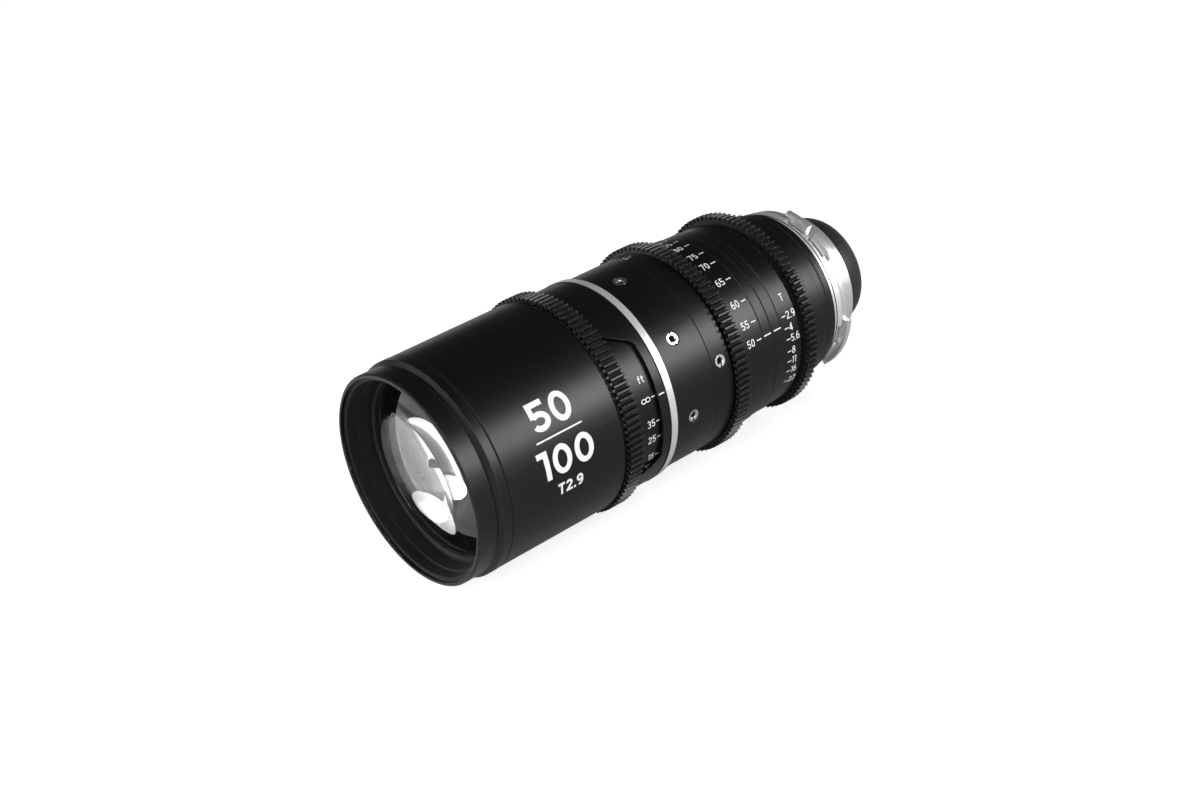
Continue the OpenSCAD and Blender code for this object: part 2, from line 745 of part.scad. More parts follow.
module screw_seats(shell_r, z, turns) {
  for (turn = turns) screw(shell_r, z, turn, over);
}

module mid_barrel() {
  color("#151517") on_axis() difference() {
    turned([[tube_r, z_mid_front], [mid_r, z_mid_front], [mid_r, z_mid_end - joint_line],
      [mid_r - barrel_groove, z_mid_end], [shell_bore_r, z_mid_end],
      [shell_bore_r, z_mid_front + shell_lip_len], [tube_r, z_mid_front + shell_lip_len]]);
    screw_seats(mid_r, z_front_screws, front_screw_turns());
  }
}

module rear_sleeve() {
  color("#151517") on_axis() difference() {
    turned([[shell_bore_r, z_mid_end], [sleeve_r - barrel_groove, z_mid_end],
      [sleeve_r, z_mid_end + joint_line], [sleeve_r, z_sleeve_end - joint_line],
      [sleeve_r - joint_line, z_sleeve_end], [shell_bore_r, z_sleeve_end]]);
    screw_seats(sleeve_r, z_rear_screws, rear_screw_turns());
  }
}

module front_screws() {
  color("#8a8a8e") on_axis()
    for (turn = front_screw_turns()) slotted_screw(mid_r, z_front_screws, turn);
}

module rear_screws() {
  color("#8a8a8e") on_axis()
    for (turn = rear_screw_turns()) slotted_screw(sleeve_r, z_rear_screws, turn);
}

// Zoom group

z_guide_front = z_trim_front + guide_front;
z_cam_front = z_guide_front + guide_flange_t + cam_front_gap;
z_variator_pin = z_cam_front + cam_front_margin;
z_compensator_pin = z_zoom_end - cam_rear_margin;
key_slot = iris_key_r + slot_gap;

module guide_tube() {
  z_end = z_rear_front + guide_tail;
  z_flange = z_guide_front + guide_flange_t;
  color("#333336") on_axis() difference() {
    turned([[guide_bore_r, z_guide_front], [tube_bore_r, z_guide_front], [tube_bore_r, z_flange],
      [guide_r, z_flange], [guide_r, z_end], [guide_bore_r, z_end]]);
    for (turn = pin_turns) {
      straight_slot(zoom_pin_r, guide_bore_r - over, guide_r + over, turn,
        z_variator_pin, z_variator_pin + variator_travel);
      straight_slot(zoom_pin_r, guide_bore_r - over, guide_r + over, turn,
        z_compensator_pin - compensator_travel, z_compensator_pin);
    }
    rotate([0, 0, iris_key_turn - 90 - iris_close_turn])
      rotate_extrude(angle = iris_open_turn + iris_close_turn)
        translate([guide_bore_r - over, z_key - key_slot])
          square([guide_r - guide_bore_r + 2 * over, 2 * key_slot]);
    for (turn = [iris_key_turn - iris_close_turn, iris_key_turn + iris_open_turn])
      radial_pin(key_slot + slot_relief, guide_bore_r - over, guide_r + over, z_key, turn);
  }
}

module cam_sleeve() {
  color("#b08d3c") on_axis() difference() {
    ring(cam_r, guide_r + run_gap, z_cam_front, z_zoom_end);
    for (turn = pin_turns) {
      helix_slot(zoom_pin_r, guide_r - over, cam_r + over, turn, turn - zoom_turn,
        z_variator_pin, z_variator_pin + variator_travel);
      helix_slot(zoom_pin_r, guide_r - over, cam_r + over, turn, turn - zoom_turn,
        z_compensator_pin, z_compensator_pin - compensator_travel);
    }
    key_block(0);
  }
}

module key_block(gap) {
  at_angle(key_turn) translate([key_in_r - gap, -key_w / 2 - gap, z_zoom_front + key_back - gap])
    cube([key_out_r - key_in_r + 2 * gap, key_w + 2 * gap, key_len + 2 * gap]);
}

module zoom_ring() {
  color("#141416") on_axis() difference() {
    union() {
      gear_band(zoom_teeth, cam_r, z_zoom_front, zoom_gear_w);
      turned([[cam_r, z_zoom_gear], [zoom_scale_r, z_zoom_gear],
        [zoom_scale_r, z_zoom_end - ring_bevel], [zoom_scale_r - ring_bevel, z_zoom_end],
        [cam_r, z_zoom_end]]);
    }
    key_block(0);
  }
}

module zoom_key() { color("#9a9a9e") on_axis() key_block(0); }

module carriage(len, z_pin, pin_back, glass_r) {
  z1 = z_pin - pin_back;
  difference() {
    plug(guide_bore_r - run_gap, z1, z1 + len);
    plug(glass_r + glass_gap, z1 - over, z1 + len - carriage_lip);
    plug(glass_r - carriage_lip, z1, z1 + len + over);
    for (turn = pin_turns)
      radial_pin(zoom_pin_r, glass_r + carriage_lip, guide_bore_r, z_pin, turn);
  }
}

module zoom_pins(z_pin, glass_r) {
  for (turn = pin_turns)
    radial_pin(zoom_pin_r, glass_r + carriage_lip, cam_r - zoom_pin_short, z_pin, turn);
}

z_variator_seat = z_variator_pin - variator_pin_back + variator_len - carriage_lip;
z_variator_glass = z_variator_seat - sag(variator_curve_2, variator_r - glass_land) - variator_t;
z_compensator_seat = z_compensator_pin - compensator_pin_back_in + compensator_len - carriage_lip;
compensator_lip = compensator_r - carriage_lip;
z_compensator_glass = z_compensator_seat + sag(compensator_curve_2, compensator_lip) - compensator_t;

module variator_carriage() {
  color("#3a3a3d") on_axis() carriage(variator_len, z_variator_pin, variator_pin_back, variator_r);
}

module variator_glass() {
  color("#8fa0b0") on_axis()
    element(variator_r, z_variator_glass, variator_t, -variator_curve_1, -variator_curve_2);
}

module variator_retainer() {
  z2 = z_variator_glass - sag(variator_curve_1, variator_r - glass_land);
  color("#1c1c1e") on_axis()
    ring(variator_r, variator_r - carriage_lip, z2 - inner_retainer_t, z2);
}

module variator_pins() { color("#c9a64b") on_axis() zoom_pins(z_variator_pin, variator_r); }

module compensator_carriage() {
  color("#3a3a3d") on_axis()
    carriage(compensator_len, z_compensator_pin, compensator_pin_back_in, compensator_r);
}

module compensator_glass() {
  color("#8fa0b0") on_axis() element(compensator_r, z_compensator_glass, compensator_t,
    compensator_curve_1, compensator_curve_2);
}

module compensator_retainer() {
  z2 = z_compensator_glass + sag(compensator_curve_1, compensator_lip);
  color("#1c1c1e") on_axis() ring(compensator_r, compensator_lip, z2 - inner_retainer_t, z2);
}

module compensator_pins() { color("#c9a64b") on_axis() zoom_pins(z_compensator_pin, compensator_r); }

// Index rings between the zoom scale and the iris scale

module index_ring_front() {
  color("#161618") on_axis()
    bevelled_ring(index_front_r, guide_r, z_index_front, z_index_mid - joint_line);
}

module index_ring_rear() {
  color("#161618") on_axis()
    bevelled_ring(index_rear_r, guide_r, z_index_mid - joint_line, z_index_end);
}

// Iris

module iris_ring() {
  z_groove = z_iris_gear - iris_groove_len;
  color("#141416") on_axis() difference() {
    union() {
      turned([[guide_r + run_gap, z_iris_front], [iris_scale_r - ring_bevel, z_iris_front],
        [iris_scale_r, z_iris_front + ring_bevel],
        [iris_scale_r, z_groove], [iris_groove_r, z_groove + joint_groove],
        [iris_groove_r, z_iris_gear], [guide_r + run_gap, z_iris_gear]]);
      gear_band(iris_teeth, guide_r + run_gap, z_iris_gear, iris_gear_w);
    }
    radial_pin(iris_key_r, guide_r, iris_key_out_r, z_key, iris_key_turn);
  }
}

module iris_key() {
  color("#9a9a9e") on_axis()
    radial_pin(iris_key_r, iris_key_in_r, iris_key_out_r, z_key, iris_key_turn);
}

// A point of the opening blade's pin, seen from the pivot, after the blade has turned.
function drive_point(turn) =
  [pivot_r + drive_arm * cos(drive_lead + turn), drive_arm * sin(drive_lead + turn)];
function turn_point(p, a) = [p[0] * cos(a) - p[1] * sin(a), p[0] * sin(a) + p[1] * cos(a)];
path_steps = 12;
function drive_path() = [for (i = [0:path_steps])
  let (a = -iris_open_turn + (iris_open_turn + iris_close_turn) * i / path_steps)
  turn_point(drive_point((a + iris_open_turn) * blade_ratio), a)];
function scaled_out(p, w) = p * (norm(p) + w) / norm(p);

module iris_base() {
  color("#2a2a2c") on_axis() difference() {
    plug(guide_bore_r - fit_gap, z_base, z_base + base_t);
    plug(iris_open_r, z_base - over, z_base + base_t + over);
    for (k = [0:blade_count - 1]) rotate([0, 0, k * 360 / blade_count])
      translate([pivot_r, 0, z_base - over]) cylinder(r = pivot_pin_r + run_gap, h = base_t + 2 * over);
  }
}

module iris_drive_ring() {
  path = drive_path();
  half = drive_pin_r + slot_gap;
  outline = concat([for (p = path) scaled_out(p, half)],
    [for (i = [path_steps:-1:0]) scaled_out(path[i], -half)]);
  color("#4a4a4e") on_axis() difference() {
    plug(guide_bore_r - run_gap, z_drive, z_drive + drive_ring_t);
    plug(drive_ring_bore_r, z_drive - over, z_drive + drive_ring_t + over);
    for (k = [0:blade_count - 1]) rotate([0, 0, k * 360 / blade_count])
      translate([0, 0, z_drive - over]) {
        linear_extrude(drive_ring_t + 2 * over) polygon(outline);
        for (p = [path[0], path[path_steps]])
          translate(p) cylinder(r = half, h = drive_ring_t + 2 * over);
      }
    radial_pin(iris_key_r, iris_key_in_r, guide_bore_r + over, z_key, iris_key_turn);
  }
}

// One blade in its own layer, turned on its pivot from fully open to the rest setting.
blade_arc_steps = 14;
module iris_blade(k) {
  z1 = z_stack + k * blade_layer;
  rest_turn = iris_open_turn * blade_ratio;
  arm_end = drive_point(0);
  inner = [for (i = [0:blade_arc_steps]) let (a = blade_length * i / blade_arc_steps)
    [iris_open_r * cos(a), iris_open_r * sin(a)]];
  outer = [for (i = [blade_arc_steps:-1:0]) let (a = blade_length * i / blade_arc_steps)
    [blade_out_r * cos(a), blade_out_r * sin(a)]];
  color("#3b3b40") on_axis() rotate([0, 0, k * 360 / blade_count])
    translate([pivot_r, 0, 0]) rotate([0, 0, rest_turn]) translate([-pivot_r, 0, 0]) {
      translate([0, 0, z1]) {
        linear_extrude(blade_t) polygon(concat(inner, outer));
        translate([blade_out_r - arm_w, 0, 0]) cube([pivot_r - blade_out_r + arm_w, arm_w, blade_t]);
        translate([pivot_r, 0, 0]) cylinder(r = ear_r, h = blade_t);
        translate([pivot_r, 0, 0]) rotate([0, 0, drive_lead])
          translate([0, -arm_w / 2, 0]) cube([drive_arm, arm_w, blade_t]);
        translate(arm_end) cylinder(r = arm_w / 2, h = blade_t);
      }
      translate([pivot_r, 0, z_base + base_t / 2])
        cylinder(r = pivot_pin_r, h = z1 - z_base - base_t / 2);
      translate([arm_end[0], arm_end[1], z1])
        cylinder(r = drive_pin_r, h = z_drive + drive_ring_t - stack_gap - z1);
    }
}

// Rear barrel and rear optics

module rear_barrel() {
  z1 = z_rear_front;
  z_a = z1 + rear_step;
  z_b = z_a + bead_w * 2 + rear_mid_len;
  z2 = z_neck_front;
  color("#161618") on_axis() difference() {
    turned([[0, z1], [rear_r - joint_groove, z1], [rear_r, z1 + joint_groove], [rear_r, z_a - bead_w],
      [rear_r - bead_depth, z_a], [rear_mid_r - bead_depth, z_a], [rear_mid_r - bead_depth, z_a + bead_w],
      [rear_mid_r, z_a + bead_w], [rear_mid_r, z_b - bead_w], [rear_end_r - bead_depth, z_b],
      [rear_end_r - bead_depth, z_b + bead_w], [rear_end_r, z_b + bead_w],
      [rear_end_r, z2 - joint_groove], [rear_end_r - joint_groove, z2], [0, z2]]);
    plug(guide_r + fit_gap, z1 - over, z1 + guide_tail);
    plug(rear_bore_r, z1, z2 + over);
  }
}

z_rear_cell = z_rear_front + guide_tail + lip_len;
z_rear_glass = z_rear_cell + rear_glass_front;
rear_edge_1 = z_rear_glass + sag(rear_curve_1, rear_cell_bore_r);
rear_edge_2 = z_rear_glass + rear_glass_t - sag(rear_curve_2, rear_cell_bore_r);
z_last_edge = rear_edge_2 + rear_spacer_len;
z_last_glass = z_last_edge + sag(last_curve_1, rear_glass_r - glass_land);
last_edge_2 = z_last_glass + last_glass_t - sag(last_curve_2, rear_cell_bore_r);
z_cell_step = z_rear_cell + rear_cell_front_len;
z_cell_end = z_cell_step + rear_cell_tail_len;

module rear_cell() {
  color("#202022") on_axis() difference() {
    union() {
      plug(rear_cell_r, z_rear_cell, z_cell_step);
      plug(rear_cell_tail_r, z_cell_step, z_cell_end);
    }
    plug(rear_cell_bore_r, z_rear_cell - over, z_cell_end + over);
    plug(rear_glass_r + glass_gap, rear_edge_1, z_cell_end + over);
  }
}

module rear_glass() {
  color("#8fa0b0") on_axis()
    element(rear_glass_r, z_rear_glass, rear_glass_t, rear_curve_1, rear_curve_2);
}

module rear_spacer() {
  color("#1c1c1e") on_axis() ring(rear_glass_r, rear_cell_bore_r, rear_edge_2, z_last_edge);
}

module last_glass() {
  color("#8fa0b0") on_axis()
    element(rear_glass_r, z_last_glass, last_glass_t, -last_curve_1, last_curve_2);
}

module rear_retainer() {
  color("#1c1c1e") on_axis()
    ring(rear_glass_r, rear_cell_bore_r, last_edge_2, last_edge_2 + inner_retainer_t);
}

// Mount

function wing_turns() = [for (i = [0:wing_count - 1]) (i + 0.5) * 360 / wing_count];
function mount_screw_turns() = [for (i = [0:mount_screw_count - 1]) i * 360 / mount_screw_count];

module mount_screw_shapes(slotted) {
  for (turn = mount_screw_turns()) at_angle(turn) translate([mount_screw_circle, 0, 0])
    rotate([180, 0, 0]) difference() {
      union() {
        cylinder(r1 = mount_screw_head_r, r2 = mount_screw_r, h = mount_screw_head_t);
        cylinder(r = mount_screw_r, h = mount_screw_len);
      }
      if (slotted) translate([-mount_screw_head_r, -mount_screw_r / 4, -over])
        cube([2 * mount_screw_head_r, mount_screw_r / 2, over + mount_screw_head_t / 2]);
    }
}

module mount_neck() {
  z_hub = z_plate - hub_len;
  color("#d2d2d4") on_axis() difference() {
    turned([[neck_bore_r, z_neck_front], [neck_front_r, z_neck_front],
      [neck_rear_r, z_neck_rear - ring_bevel], [neck_rear_r - ring_bevel, z_neck_rear],
      [neck_bore_r, z_neck_rear]]);
    plug(neck_hub_bore_r, z_hub, z_neck_rear + over);
    ring(shim_out_r, shim_in_r, z_neck_front - over, z_neck_front + shim_t);
    mount_screw_shapes(false);
    for (turn = wing_turns()) for (side = [-1, 1])
      at_angle(turn + side * scoop_turn - scoop_width / 2) rotate_extrude(angle = scoop_width)
        polygon([[scoop_r, z_neck_rear + over], [scoop_r, z_neck_rear - scoop_flat],
          [neck_rear_r + over, z_neck_rear - scoop_len], [neck_rear_r + over, z_neck_rear + over]]);
  }
}

module mount_shim() {
  color("#c0c0c2") on_axis() ring(shim_out_r, shim_in_r, z_neck_front, z_neck_front + shim_t);
}

module mount_flange() {
  z_hub = z_plate - hub_len + hub_gap;
  wing_reach = 2 * wing_r;
  color("#d6d6d8") on_axis() difference() {
    union() {
      turned([[0, z_plate], [plate_r - ring_bevel, z_plate], [plate_r, z_plate + ring_bevel],
        [plate_r, 0], [0, 0]]);
      intersection() {
        plug(wing_r, z_plate, 0);
        for (turn = wing_turns()) at_angle(turn) translate([0, 0, z_plate]) linear_extrude(plate_t)
          polygon([[0, 0], wing_reach * [cos(wing_width / 2), -sin(wing_width / 2)],
            wing_reach * [cos(wing_width / 2), sin(wing_width / 2)]]);
      }
      plug(neck_hub_bore_r - fit_gap, z_hub, z_plate);
      plug(mount_r, 0, mount_len - mount_round);
      translate([0, 0, mount_len - mount_round])
        cylinder(r1 = mount_r, r2 = mount_r - mount_round, h = mount_round);
    }
    plug(mount_bore_r, z_hub - over, mount_len + over);
    at_angle(notch_turn - notch_width / 2) translate([0, 0, z_plate])
      rotate_extrude(angle = notch_width) translate([notch_r, 0]) square([wing_r, plate_t + over]);
    mount_screw_shapes(false);
  }
}

module mount_screws() { color("#a8a8aa") on_axis() mount_screw_shapes(true); }

module rear_baffle() {
  round_steps = 8;
  z_end = mount_len + baffle_len;
  z_round = mount_len + baffle_straight;
  dome = [for (i = [0:round_steps]) let (a = 90 * i / round_steps)
    [baffle_end_r + (baffle_r - baffle_end_r) * cos(a), z_round + (z_end - z_round) * sin(a)]];
  color("#101012") on_axis()
    turned(concat([[baffle_throat_r, mount_len - baffle_hub_len],
      [mount_bore_r - fit_gap, mount_len - baffle_hub_len], [mount_bore_r - fit_gap, mount_len],
      [baffle_r, mount_len]], dome,
      [[baffle_open_r, z_end], [baffle_throat_r, mount_len]]));
}

front_ring();
front_barrel();
front_cell();
front_glass();
front_retainer();
front_spacer();
second_glass();
main_tube();
focus_ring();
focus_carriage();
focus_glass();
focus_retainer();
focus_pins();
window_cover();
trim_ring();
mid_barrel();
rear_sleeve();
front_screws();
rear_screws();
guide_tube();
zoom_ring();
cam_sleeve();
zoom_key();
variator_carriage();
variator_glass();
variator_retainer();
variator_pins();
compensator_carriage();
compensator_glass();
compensator_retainer();
compensator_pins();
index_ring_front();
index_ring_rear();
iris_ring();
iris_base();
iris_drive_ring();
iris_key();
iris_blade(0);  // iris_blade_1
iris_blade(1);  // iris_blade_2
iris_blade(2);  // iris_blade_3
iris_blade(3);  // iris_blade_4
iris_blade(4);  // iris_blade_5
iris_blade(5);  // iris_blade_6
iris_blade(6);  // iris_blade_7
iris_blade(7);  // iris_blade_8
iris_blade(8);  // iris_blade_9
rear_barrel();
rear_cell();
rear_glass();
rear_spacer();
last_glass();
rear_retainer();
mount_neck();
mount_shim();
mount_flange();
mount_screws();
rear_baffle();
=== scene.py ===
import json
import math

import bmesh
import bpy
from mathutils import Matrix, Vector


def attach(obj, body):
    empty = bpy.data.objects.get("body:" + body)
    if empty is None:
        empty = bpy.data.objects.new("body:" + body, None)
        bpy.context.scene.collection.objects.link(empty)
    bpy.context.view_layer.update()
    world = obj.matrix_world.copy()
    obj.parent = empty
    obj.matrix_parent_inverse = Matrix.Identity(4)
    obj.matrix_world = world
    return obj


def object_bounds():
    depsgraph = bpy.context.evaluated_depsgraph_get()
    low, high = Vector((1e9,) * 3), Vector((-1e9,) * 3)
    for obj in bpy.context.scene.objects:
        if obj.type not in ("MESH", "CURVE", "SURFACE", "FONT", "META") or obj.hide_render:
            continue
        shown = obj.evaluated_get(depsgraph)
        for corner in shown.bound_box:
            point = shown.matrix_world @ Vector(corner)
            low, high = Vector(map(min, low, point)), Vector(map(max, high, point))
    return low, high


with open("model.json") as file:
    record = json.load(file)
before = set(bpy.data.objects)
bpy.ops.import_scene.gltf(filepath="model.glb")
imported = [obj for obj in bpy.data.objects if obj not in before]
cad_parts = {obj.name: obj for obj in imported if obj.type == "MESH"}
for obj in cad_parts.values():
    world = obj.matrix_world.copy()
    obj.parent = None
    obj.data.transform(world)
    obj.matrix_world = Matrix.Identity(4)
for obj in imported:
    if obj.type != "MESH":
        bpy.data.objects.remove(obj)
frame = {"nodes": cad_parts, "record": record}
cad_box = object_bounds()

MM = 0.001


# ---------------------------------------------------------------- shader maths

class Value:
    """A number that changes over a surface. Arithmetic on it adds Math nodes."""

    def __init__(self, finish, socket):
        self.finish = finish
        self.socket = socket

    def math(self, operation, *values):
        settings = {"operation": operation}
        inputs = dict(enumerate(values))
        return self.finish.node("ShaderNodeMath", settings, inputs)

    def __add__(self, other):
        return self.math("ADD", self, other)

    def __radd__(self, other):
        return self.math("ADD", other, self)

    def __sub__(self, other):
        return self.math("SUBTRACT", self, other)

    def __rsub__(self, other):
        return self.math("SUBTRACT", other, self)

    def __mul__(self, other):
        return self.math("MULTIPLY", self, other)

    def __rmul__(self, other):
        return self.math("MULTIPLY", other, self)

    def __gt__(self, other):
        return self.math("GREATER_THAN", self, other)

    def __lt__(self, other):
        return self.math("LESS_THAN", self, other)

    def sine(self):
        return self.math("SINE", self)

    def size(self):
        return self.math("ABSOLUTE", self)

    def root(self):
        return self.math("SQRT", self)

    def between(self, low, high):
        """0 at low, 1 at high, held at both ends."""
        settings = {"clamp": True, "interpolation_type": "SMOOTHSTEP"}
        inputs = {"Value": self, "From Min": low, "From Max": high}
        return self.finish.node("ShaderNodeMapRange", settings, inputs)


class Finish:
    """One material: a Principled surface and the nodes that vary it."""

    def __init__(self, name, **constants):
        self.material = bpy.data.materials.new(name)
        self.material.use_nodes = True
        self.tree = self.material.node_tree
        self.surface = self.tree.nodes["Principled BSDF"]
        for word, value in constants.items():
            self.set(word, value)

    @classmethod
    def around(cls, tree):
        """The same node writer for a tree that isn't a Principled surface."""
        writer = cls.__new__(cls)
        writer.tree = tree
        return writer

    def set(self, word, value):
        """Gives one of the surface's sockets a value or a link."""
        name = word if word in self.surface.inputs else word.replace("_", " ")
        self.connect(self.surface.inputs[name], value)

    def connect(self, socket, value):
        if isinstance(value, Value):
            self.tree.links.new(value.socket, socket)
        elif hasattr(value, "__len__") and socket.type == "RGBA":
            socket.default_value = (*value[:3], 1)
        else:
            socket.default_value = value

    def node(self, kind, settings=None, inputs=None, output=0):
        """Adds one node: its settings first, then the values or links of its sockets."""
        made = self.tree.nodes.new(kind)
        for word, value in (settings or {}).items():
            setattr(made, word, value)
        for key, value in (inputs or {}).items():
            self.connect(made.inputs[key], value)
        return Value(self, made.outputs[output])

    def place(self):
        """The point on the piece, in metres, as one vector."""
        return self.node("ShaderNodeTexCoord", output="Object")

    def parts(self, vector):
        split = self.node("ShaderNodeSeparateXYZ", {}, {0: vector}).socket.node
        return [Value(self, socket) for socket in split.outputs]

    def along(self):
        """How far the point is along the optical axis."""
        return self.parts(self.place())[1]

    def out(self):
        """How far the point is out from the axis."""
        x, y, z = self.parts(self.place())
        return (x * x + z * z).root()

    def turn(self):
        """The point's turn round the axis."""
        x, y, z = self.parts(self.place())
        return x.math("ARCTAN2", x, z)

    def seams(self, along):
        """1 in the narrow shadow line where two pieces meet, 0 elsewhere."""
        found = 0
        for station in SEAMS:
            found = found + ((along - station * MM).size() < SEAM_HALF * MM)
        return found

    def tooth_gaps(self, out, along):
        """1 between the teeth of the three gears, where their shade is painted, 0 elsewhere."""
        found = 0
        for start, end, tip in GEARS:
            below = out < (tip - GAP_START) * MM
            found = found + (along > start * MM) * (along < end * MM) * below
        return found

    def vector(self, x, y, z):
        return self.node("ShaderNodeCombineXYZ", {}, {0: x, 1: y, 2: z})

    def noise(self, vector, scale, detail=2.0, roughness=0.5):
        inputs = {"Vector": vector, "Scale": scale, "Detail": detail}
        inputs["Roughness"] = roughness
        return self.node("ShaderNodeTexNoise", {}, inputs)

    def colour(self, factor, first, second):
        inputs = {0: factor, 6: first, 7: second}
        return self.node("ShaderNodeMix", {"data_type": "RGBA"}, inputs, 2)

    def bevel(self, radius, samples=4):
        return self.node("ShaderNodeBevel", {"samples": samples}, {"Radius": radius})

    def edge(self, rounded):
        """1 on the narrow rounded corners, 0 elsewhere."""
        flat = self.node("ShaderNodeNewGeometry", output="Normal")
        settings = {"operation": "DOT_PRODUCT"}
        same = self.node("ShaderNodeVectorMath", settings, {0: rounded, 1: flat}, "Value")
        return (1 - same).between(0.01, 0.12)

    def bump(self, height, strength, depth, normal=None):
        inputs = {"Height": height, "Strength": strength, "Distance": depth}
        if normal is not None:
            inputs["Normal"] = normal
        self.set("Normal", self.node("ShaderNodeBump", {}, inputs))


# ------------------------------------------------------------------- finishes

# Where two outer pieces meet, in mm along the axis, and half a shadow line's width.
SEAMS = (-169.8, -98.5, -95.1, -75.3, -48.5, -43.9, -39.0, -23.9, -14.9, -11.5, -5.5)
SEAM_HALF = 0.24
# The three cut gears: front, rear and tip radius in mm, and how far below the tips a gap starts.
GEARS = ((-118.3, -112.5, 41.2), (-66.3, -60.9, 40.4), (-29.1, -24.1, 38.8))
GAP_START = 0.55
# The inside of the front ring: its radius, and the station that it lies ahead of, in mm.
BORE_R = 37.2
BORE_END = -150
# How fine each pattern is: grains, clouds or specks in about a metre.
BLAST_GRAIN, BLAST_CLOUDS, WORN_AND_HIGHLIT_SPOTS = 5200, 70, 900
CELL_GRAIN, BAFFLE_GRAIN, INK_GRAIN = 4000, 3500, 2600
TURNED_LINES, METAL_CLOUDS, DUST_SPECKS = 2600, 140, 1100
# An anti-glare thread's pitch.
THREAD_PITCH = 0.5 * MM


def blasted_anodise(name, tone, sheen, wear_and_highlight, bare_and_highlight, rounding):
    """Bead-blasted aluminium, anodised black: a fine grain, soft gloss, lighter corners, and
    painted shade in the seams and between the teeth.

    tone is how much light the black returns and sheen its roughness. The next two say how far a
    corner is lightened and how light it turns, partly as rubbed metal and partly as painted
    highlight, and rounding is the corners' radius."""
    finish = Finish(name, Metallic=0.0, IOR=1.5, Specular_IOR_Level=0.32)
    place = finish.place()
    grain = finish.noise(place, BLAST_GRAIN, 3, 0.6)
    patches = finish.noise(place, BLAST_CLOUDS, 3)
    out, along = finish.out(), finish.along()
    bore = (out < BORE_R * MM) * (along < BORE_END * MM)
    shaded = (finish.seams(along) + finish.tooth_gaps(out, along)).between(0, 1)
    rounded = finish.bevel(rounding, 6)
    # Where a corner is painted lighter: partly rubbed bare metal, partly painted highlight, less of
    # it inside the bore.
    worn_and_highlit = finish.noise(place, WORN_AND_HIGHLIT_SPOTS, 2).between(0.30, 0.52) * (1 - bore * 0.85)
    corner = finish.edge(rounded) * worn_and_highlit * (1 - shaded * 0.6)
    deep = (tone * 0.8, tone * 0.8, tone * 0.84)
    light = (tone * 1.25, tone * 1.25, tone * 1.3)
    body = finish.colour(patches, deep, light)
    # Painted shade: the seams and the gaps between the teeth are painted near black. Then the
    # corners are painted lighter, partly as wear and partly as painted highlight.
    body = finish.colour(shaded, body, (0.0006, 0.0006, 0.0006))
    finish.set("Base Color", finish.colour(corner * wear_and_highlight, body, (bare_and_highlight, bare_and_highlight, bare_and_highlight * 1.03)))
    rough = sheen + bore * 0.35 + patches * 0.07 + grain * 0.06 - corner * 0.06
    finish.set("Roughness", rough + shaded * 0.45)
    finish.bump(grain, 0.16, 0.012 * MM, rounded)
    return finish.material


def barrel_black():
    """The barrels: soft corners, a little lightened by wear and by painted highlight."""
    return blasted_anodise("barrel_black", tone=0.0030, sheen=0.30, wear_and_highlight=0.5, bare_and_highlight=0.16,
                           rounding=0.22 * MM)


def ring_black():
    """The geared rings: the same black, cut teeth with a little more gloss, and lighter corners,
    partly worn and partly painted highlight.
    """
    return blasted_anodise("ring_black", tone=0.0024, sheen=0.28, wear_and_highlight=0.8, bare_and_highlight=0.34,
                           rounding=0.13 * MM)


def cell_black():
    """Blackened inner rings with the fine turned lines of an anti-glare thread."""
    finish = Finish("cell_black", Metallic=0.0, IOR=1.5, Specular_IOR_Level=0.25)
    lines = (finish.along() * (2 * math.pi / THREAD_PITCH)).sine()
    grain = finish.noise(finish.place(), CELL_GRAIN, 2)
    rounded = finish.bevel(0.15 * MM)
    finish.set("Base Color", finish.colour(grain, (0.003, 0.003, 0.003), (0.007, 0.0065, 0.0065)))
    finish.set("Roughness", 0.48 + grain * 0.12)
    finish.bump(lines * 0.5 + grain * 0.3, 0.35, 0.03 * MM, rounded)
    return finish.material


def turned_metal(name, tone, rough, line_depth, patch_depth, metallic=1.0):
    """Metal off the lathe: lines round the axis, faint cloudy patches, bright corners.

    The lines and the clouds each add their depth to rough, the roughness. A satin-etched
    metal is part matt, so it is less than fully metallic."""
    finish = Finish(name, Metallic=metallic, IOR=1.5)
    out, along = finish.out(), finish.along()
    track = finish.vector(out * TURNED_LINES, along * TURNED_LINES, finish.turn() * 1.6)
    lines = finish.noise(track, 1.0, 2, 0.5)
    cloud = finish.noise(finish.place(), METAL_CLOUDS, 3)
    rounded = finish.bevel(0.14 * MM, 8)
    corner = finish.edge(rounded)
    dull = tuple(part * 0.86 for part in tone)
    metal = finish.colour(lines * 0.5 + cloud * 0.5, dull, tone)
    metal = finish.colour(corner * 0.5, metal, (0.95, 0.95, 0.95))
    # Painted shade: the seams between pieces are painted dark.
    seam = finish.seams(along)
    finish.set("Base Color", finish.colour(seam, metal, (0.03, 0.03, 0.03)))
    worn = rough + lines * line_depth + cloud * patch_depth - corner * 0.03
    finish.set("Roughness", worn + seam * 0.4)
    finish.bump(lines, 0.04, 0.01 * MM, rounded)
    return finish.material


def coated_glass():
    """Polished optical glass, with a few specks of dust."""
    finish = Finish("coated_glass", Metallic=0.0, IOR=1.75, Transmission_Weight=1.0)
    finish.set("Base Color", (0.97, 0.968, 0.96))
    finish.set("Specular Tint", (1.0, 0.985, 0.96))
    dust = finish.noise(finish.place(), DUST_SPECKS, 3, 0.6).between(0.78, 0.88)
    finish.set("Roughness", dust * 0.05)
    return finish.material


